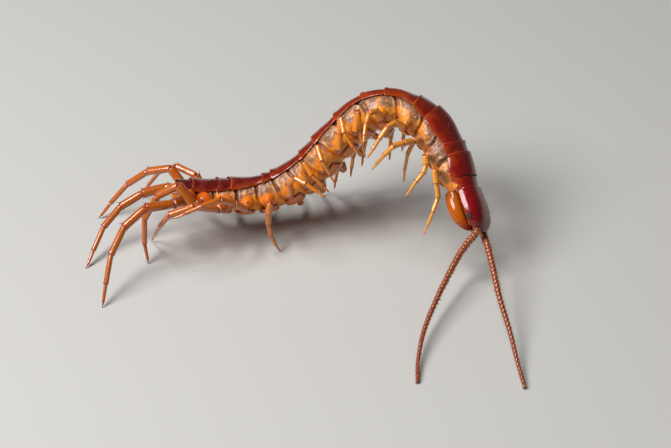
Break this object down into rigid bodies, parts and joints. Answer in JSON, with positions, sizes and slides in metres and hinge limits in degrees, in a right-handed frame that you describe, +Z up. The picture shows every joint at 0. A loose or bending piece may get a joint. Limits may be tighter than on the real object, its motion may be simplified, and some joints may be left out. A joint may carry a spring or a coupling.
{
  "type": "stone centipede",
  "caption": "Life-size still model of a stone centipede with an arched, segmented body, plated back, jointed legs and long beaded antennae, head bent down to the floor.",
  "frame": {"origin": "on the floor, in the middle of the footprint of the whole model", "axes": "+X towards the head, +Y to the left side of the body, +Z up"},
  "size_m": [0.0332, 0.025, 0.0122],
  "materials": {
    "back_plate_chitin": "polished natural cuticle, red-brown",
    "head_chitin": "polished natural cuticle, dark maroon",
    "leg_chitin": "translucent natural cuticle, amber",
    "forcipule_chitin": "polished natural cuticle, orange",
    "antenna_chitin": "finely haired natural cuticle, rust brown",
    "eye_chitin": "glossy black simple eyes"
  },
  "bodies": {
    "root": {"antenna_left": "antenna_chitin", "antenna_right": "antenna_chitin", "eye_left": "eye_chitin", "eye_right": "eye_chitin", "forcipule_left": "forcipule_chitin", "forcipule_right": "forcipule_chitin", "head": "head_chitin", "leg_left_01": "leg_chitin", "leg_left_02": "leg_chitin", "leg_left_03": "leg_chitin", "leg_left_04": "leg_chitin", "leg_left_05": "leg_chitin", "leg_left_06": "leg_chitin", "leg_left_07": "leg_chitin", "leg_left_08": "leg_chitin", "leg_left_09": "leg_chitin", "leg_left_10": "leg_chitin", "leg_left_11": "leg_chitin", "leg_left_12": "leg_chitin", "leg_left_13": "leg_chitin", "leg_left_14": "leg_chitin", "leg_left_15": "leg_chitin", "leg_right_01": "leg_chitin", "leg_right_02": "leg_chitin", "leg_right_03": "leg_chitin", "leg_right_04": "leg_chitin", "leg_right_05": "leg_chitin", "leg_right_06": "leg_chitin", "leg_right_07": "leg_chitin", "leg_right_08": "leg_chitin", "leg_right_09": "leg_chitin", "leg_right_10": "leg_chitin", "leg_right_11": "leg_chitin", "leg_right_12": "leg_chitin", "leg_right_13": "leg_chitin", "leg_right_14": "leg_chitin", "leg_right_15": "leg_chitin", "trunk_1": "back_plate_chitin", "trunk_2": "back_plate_chitin", "trunk_3": "back_plate_chitin", "trunk_4": "back_plate_chitin", "trunk_5": "back_plate_chitin"}
  },
  "joints": []
}
